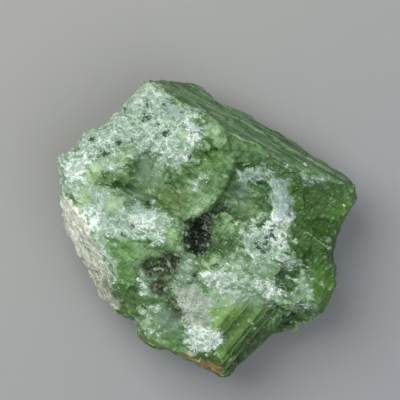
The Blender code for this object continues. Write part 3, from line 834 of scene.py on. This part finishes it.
def green_rock(rock):
    """The clean green breaks: how light each place is, and its colour."""
    mottle, drift, tint, crisp = rock.mottle, rock.drift, rock.tint, rock.crisp
    tone = drift * 0.8 + mottle * 0.5 + rock.lump * 0.36 + rock.block * 0.3 + rock.fine * 0.3 + 0.45
    tone = tone + rock.part_line * (tint("shade", 1.5) + 0.6)
    tone = tone + rock.prism_line * (tint("shade", 0.9) + 0.55)
    # Darker in the deep and shade grounds: partly their own darker green, partly painted shade
    tone = tone + crisp("pale", 0.26) + tint("bright", 0.08) - tint("deep", 0.4) - tint("shade", 0.34)
    green = tone.dyed([(0.0, (44, 74, 36)), (0.25, (66, 98, 54)), (0.5, (92, 127, 78)),
                       (0.75, (122, 156, 110)), (1.0, (158, 190, 144))])
    for name, colour, most in GREEN_STAINS:
        green = green.towards(colour, tint(name, most))
    lime = (tone * 0.6 + 0.3).dyed([(0.0, (138, 172, 116)), (0.6, (172, 202, 150)), (1.0, (200, 222, 182))])
    green = green.towards(lime, crisp("lime", 0.9))
    band = rock.streaks(PRISM, 0.9, 18.0, 4.0) * 2.4 + mottle * 0.35 + drift * 0.5 + 0.35
    band = band.dyed([(0.0, (62, 88, 50)), (0.35, (92, 121, 84)), (0.65, (120, 148, 115)),
                      (1.0, (158, 184, 154))])
    return tone, green.towards(band, rock.share("band", -0.4, 0.6, 0.85))


def terrace_rock(rock, mint):
    """The terraces: a pale lip at the start of each tread, a painted highlight, then its own colours, the
    darkest first and partly painted shade under the step, under a fine hatch.
    """
    first, last = TREAD_STEPS[0][0], TREAD_STEPS[-1][0]
    stops = []
    # Each tread: the painted highlight of its lip, then its darkest colour, partly painted shade under the
    # step, lighter to its end
    for (begin, near, far), (end, _, _) in zip(TREAD_STEPS, TREAD_STEPS[1:]):
        lip = [0.55 * own + 0.45 * pale for own, pale in zip(far, LIP_HIGHLIGHT)]
        stops += [(begin, lip), (begin + 0.32, near), (end - 0.15, far)]
    stops = [((way - first) / (last - first), colour) for way, colour in stops]
    ragged_way = rock.steps_way + rock.mottle * 0.3 - first
    steps = (ragged_way * (1.0 / (last - first))).dyed(stops)
    dark_hatch = rock.prism_line * 2.2 + rock.lump * 0.8 + rock.drift
    steps = steps.towards((52, 82, 36), dark_hatch.over(0.1, 0.7) * 0.55)
    pale_hatch = rock.prism_line * 2.0 + rock.part_line * 1.6 + rock.block * 0.8 + rock.mottle
    steps = steps.towards((150, 182, 126), pale_hatch.over(0.3, 0.8) * 0.5)
    steps = steps.towards((36, 66, 16), rock.tint("deep", 0.6))
    return steps.towards((142, 172, 136), mint * 0.6)


def veil_over(rock, off_treads, back):
    """How thickly the white crust and its thinner frostings veil the green."""
    crust, dust = rock.share("crust", -1.6, 1.9), rock.share("dust", -1.8, 2.2, 0.45)
    haze = (rock.field("haze") + rock.edge * 0.7).over(-1.8, 2.2) * 0.68
    patches = (clouds(rock.place, 14.0, 5.0, 0.6) * 4.0 + rock.mottle).over(0.2, 0.9) * back * 0.85
    veil = crust.maths("MAXIMUM", dust.maths("MAXIMUM", haze) * off_treads).maths("MAXIMUM", patches)
    return veil * (1.0 - rock.crisp("lime", 0.65)) * (1.0 - rock.tint("deep", 0.3))


def crust_rock(rock, snow, lace):
    """The white crust: flecks from grey to white, darker gaps, and warm and cool parts."""
    mottle, block, share = rock.mottle, rock.block, rock.share
    frost = mottle * 1.1 + rock.cloud * 0.8 + rock.fine * 1.2 + rock.small * 0.4 + rock.grain * 0.5
    frost = frost + block * 0.3 + lace * 2.6 + snow * 0.36 - share("warm", most=0.24) + 0.38
    frost = frost.dyed([(0.0, (104, 128, 110)), (0.25, (146, 168, 151)), (0.55, (180, 202, 186)),
                        (0.8, (208, 225, 214)), (1.0, (243, 251, 246))])
    gaps = block + rock.lump * 0.5 + mottle * 1.6 + (rock.part_line + rock.prism_line) * 1.2
    frost = frost.towards((112, 140, 112), gaps.over(0.3, 0.55) * 0.6)
    frost = frost.towards((204, 194, 184), share("warm", most=0.35))
    return frost.towards((146, 164, 174), share("cool", most=0.56))


def patched(rock, colour):
    """The worn beige bevel, the dark brown patches and the pit, laid over a colour."""
    mottle, fine, grain, share = rock.mottle, rock.fine, rock.grain, rock.share
    worn = mottle * 1.8 + fine * 1.2 + grain * 0.35 + rock.streaks(110.0, 0.7, 6.0) * 1.6 + rock.drift
    # The bevel is paler towards the top of the frame and greyer lower down
    worn = worn + rock.way(90.0).over(-20.0, 0.0) * 0.35 + 0.2
    worn = worn.dyed([(0.0, (156, 162, 142)), (0.35, (202, 208, 190)), (0.7, (228, 232, 216)),
                      (1.0, (250, 252, 242))])
    colour = colour.towards(worn, share("bevel", -0.9, 1.0, 0.9))
    shards = mottle * 1.4 + rock.block * 0.5 + grain * 0.35 + fine * 0.8 + 0.42
    dusk = shards.dyed([(0.0, (22, 30, 20)), (0.4, (52, 66, 44)), (1.0, (134, 148, 118))])
    colour = colour.towards(dusk, share("dusk", -0.6, 0.9, 0.9))
    pit = shards.dyed([(0.0, (14, 22, 14)), (0.6, (42, 54, 40)), (1.0, (140, 152, 136))])
    return colour.towards(pit, share("pit", -1.0, 0.6, 0.95))


def edged(rock, colour):
    """Painted highlights on ridges and ledge lips, partly the paler broken rock of the edges, and painted
    shade in hollows and at the feet under the ledges, laid over a colour.
    """
    fine, banded = rock.fine, rock.share("band", most=0.3)
    stand, lip = rock.field("bulge"), rock.field("ledges")
    # Painted highlight on convex ridges, partly the paler broken rock there
    edges = (stand + fine * 3.0 + rock.block * 3.0).over(2.5, 8.0)
    colour = colour.towards((190, 214, 176), edges * (0.4 - banded))
    # Painted shade in the hollows
    colour = colour.towards((44, 66, 38), (fine * 3.0 - stand).over(4.0, 10.0) * 0.15)
    # Painted highlight along the lips of the ledges
    lips = (lip + rock.mottle * 0.14 + rock.block * 0.06).over(0.05, 0.18)
    colour = colour.towards((164, 194, 146), lips * (0.5 - banded))
    # Painted shade at the feet of the ledges
    return colour.towards((46, 70, 38), (fine * 0.15 - lip).over(0.15, 0.45) * 0.35)


def speckled(rock, colour, veil, lace):
    """The crust's pepper, its dark grains, and bright chipped spots with painted glints among them, laid
    over a colour.
    """
    fine, mottle, grain = rock.fine, rock.mottle, rock.grain
    pepper = (grain * 0.9 + mottle * 1.2 + rock.cloud * 0.5 - lace * 2.0).over(0.56, 0.7) * veil
    colour = colour.towards((84, 106, 84), pepper * 0.75)
    specks = rock.field("specks") + (fine * 2.4 + mottle * 2.4 + grain * 0.9)
    colour = colour.towards((32, 42, 34), specks.over(-0.25, 0.1) * 0.92)
    # Bright chipped spots, some of them painted glints
    chips = rock.field("chips") + fine * 1.6 + mottle * 1.2 + grain * 0.6
    return colour.towards((216, 234, 210), chips.over(-0.05, 0.25) * 0.85)


def facing_of(rock, frosted):
    """The way each crystal faces, with the finest relief on top."""
    facing = rock.place.add("ShaderNodeNewGeometry", out=1)
    leans = (rock.grain_tilt, frosted * 0.5 + 0.12), (rock.block_tilt, 0.28), (rock.lump_tilt, 0.3)
    for tilt, lean in leans:
        facing = facing.vectors("ADD", tilt.scaled(lean))
    relief = (rock.fine * (frosted * 0.04 + 0.03) + rock.small * 0.05) * MM
    sockets = {"Strength": 1.0, "Distance": 1.0, "Height": relief, "Normal": facing.vectors("NORMALIZE")}
    return rock.place.add("ShaderNodeBump", None, sockets)


def stone_finish():
    """Lays the colours on in order: green rock, terraces, stains, crust, worn and dark parts, then the
    painted highlights and shade of edges and ledges, and the flecks, some of them painted glints.
    """
    material, shader, place = new_finish("diopside_stone")
    rock = Rock(place)
    tone, colour = green_rock(rock)
    mint = (rock.way(90.0) + rock.mottle * 3.0).over(-23.0, -20.0)
    trodden = (rock.field("treads") + rock.edge * 0.5).over(-0.4, 0.4)
    colour = colour.towards(terrace_rock(rock, mint), trodden * 0.9)
    high_up = (rock.height + rock.cloud * 36.0 + rock.mottle * 10.0).over(12.0, 19.0)
    colour = colour.towards((190, 148, 104), rock.share("rust", -1.4, 0.8, 0.75) * high_up)
    back = 1.0 - rock.field("face")
    weather = (clouds(place, 11.0, 5.0, 0.6) * 4.0 + rock.mottle).over(0.2, 1.0) * back
    colour = colour.towards((146, 150, 126), weather * 0.65)
    off_treads = 1.0 - trodden * (1.0 - mint) * 0.8
    veil = veil_over(rock, off_treads, back)
    misty = tone * 0.7 + 0.2
    misty = misty.dyed([(0.0, (106, 138, 104)), (0.5, (140, 170, 138)), (1.0, (176, 202, 172))])
    colour = colour.towards(misty, veil.over(0.05, 0.9) * 0.78)
    snow = rock.share("snow", -1.2, 1.4)
    lace = 0.1 - clouds(place, 2.2, 3.0, 0.6).maths("ABSOLUTE")
    loose = rock.mottle * 1.3 + rock.cloud * 0.9 + rock.grain * 0.35 + rock.block * 0.35 + rock.fine * 0.5
    frosted = (veil + loose * 1.4 + snow * 0.3 - 0.34).over(0.05, 0.75)
    colour = colour.towards(crust_rock(rock, snow, lace), frosted * 0.95)
    # Painted highlights and shade along edges and ledges, then flecks and painted glints
    colour = speckled(rock, edged(rock, patched(rock, colour)), veil, lace)
    colour.into(shader.inputs["Base Color"])
    (0.4 + frosted * 0.16 + rock.grain * 0.2).into(shader.inputs["Roughness"])
    facing_of(rock, frosted).into(shader.inputs["Normal"])
    shader.inputs["Specular IOR Level"].default_value = 0.3
    shader.inputs["Subsurface Weight"].default_value = 0.2
    shader.inputs["Subsurface Radius"].default_value = (0.5, 1.0, 0.45)
    shader.inputs["Subsurface Scale"].default_value = 1.2 * MM
    return material


stone = rough_copy()
worked(stone, "REMESH", mode="VOXEL", voxel_size=SKIN * MM)
break_skin(stone)
triangles = sum(len(face.vertices) - 2 for face in stone.data.polygons)
worked(stone, "DECIMATE", ratio=min(1.0, SKIN_TRIANGLES / triangles), use_collapse_triangulate=True)
note_minerals(stone)
stone.data.materials.clear()
stone.data.materials.append(stone_finish())
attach(stone, "root")
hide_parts("diopside")

# The grains on the stone: sugary white grains stand on the crust, and glassy dark ones fill the pit
# and the dark brown patches. Each is a small angular crystal, sunk by half into the stone that it has
# grown on.


def grain_finish(name, stops, width, shine):
    """Crystal whose colour changes from grain to grain."""
    material, shader, place = new_finish(name)
    patchy = clouds(place, width, 3.0, 0.6) * 1.8 + 0.5
    patchy.dyed(stops).into(shader.inputs["Base Color"])
    shader.inputs["Roughness"].default_value = shine
    return material


def grow(name, ground_name, edges, crowd, sizes, seed, finish):
    """Grows grains on the skin where a ground lies: how many per square millimetre, and their sizes."""
    piece = put(name, stone.data.copy())
    tree = bpy.data.node_groups.new(name, "GeometryNodeTree")
    small, large = sizes
    values = {
        "Skin": ("NodeSocketGeometry", None), "Crowd": ("NodeSocketFloat", crowd / MM ** 2),
        "Least": ("NodeSocketVector", (small * MM,) * 3), "Most": ("NodeSocketVector", (large * MM,) * 3),
        "Seed": ("NodeSocketInt", seed), "Finish": ("NodeSocketMaterial", finish),
    }
    inputs = {label: tree.interface.new_socket(name=label, in_out="INPUT", socket_type=kind)
              for label, (kind, _) in values.items()}
    tree.interface.new_socket(name="Grains", in_out="OUTPUT", socket_type="NodeSocketGeometry")
    given = tree.nodes.new("NodeGroupInput")
    skin, number, least, most, number_seed, coat = (Flow(tree, given.outputs[label]) for label in values)
    ground_there = skin.add("GeometryNodeInputNamedAttribute", {"data_type": "FLOAT"}, {0: ground_name})
    density = ground_there.over(*edges, "LINEAR") * number
    spread = {"Mesh": skin, "Density": density, "Seed": number_seed}
    spread = skin.add("GeometryNodeDistributePointsOnFaces", {"distribute_method": "RANDOM"}, spread)
    grain = skin.add("GeometryNodeMeshCube", None, {"Size": (1.0, 1.0, 1.0)})
    turns = {0: (0.0, 0.0, 0.0), 1: (math.tau, math.tau, math.tau), "Seed": number_seed}
    turns = skin.add("FunctionNodeRandomValue", {"data_type": "FLOAT_VECTOR"}, turns)
    widths = {0: least, 1: most, "Seed": number_seed + 1.0}
    widths = skin.add("FunctionNodeRandomValue", {"data_type": "FLOAT_VECTOR"}, widths)
    grains = {"Points": spread, "Instance": grain, "Rotation": turns, "Scale": widths}
    grains = skin.add("GeometryNodeInstanceOnPoints", None, grains)
    grains = skin.add("GeometryNodeRealizeInstances", None, {0: grains})
    grains = skin.add("GeometryNodeSetMaterial", None, {"Geometry": grains, "Material": coat})
    grains.into(tree.nodes.new("NodeGroupOutput").inputs[0])
    modifier = piece.modifiers.new(name, "NODES")
    modifier.node_group = tree
    for label, (_, value) in values.items():
        if value is not None:
            modifier[inputs[label].identifier] = value
    settle(piece)
    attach(piece, "root")


white = grain_finish("crust_grain", [
    (0.0, (140, 166, 142)), (0.35, (176, 200, 178)), (0.7, (206, 224, 208)), (1.0, (240, 248, 240)),
], width=0.9, shine=0.4)
dark = grain_finish("dark_grain", [
    (0.0, (16, 24, 16)), (0.5, (36, 48, 35)), (0.85, (72, 86, 68)), (1.0, (150, 164, 148)),
], width=0.8, shine=0.25)
grow("crust_grains", "clumps", edges=(0.3, 1.8), crowd=1.1, sizes=(0.12, 0.42), seed=4, finish=white)
grow("pit_grains", "pit", edges=(0.1, 1.2), crowd=1.6, sizes=(0.25, 0.8), seed=7, finish=dark)
grow("dusk_grains", "dusk", edges=(0.4, 1.8), crowd=1.0, sizes=(0.2, 0.6), seed=11, finish=dark)
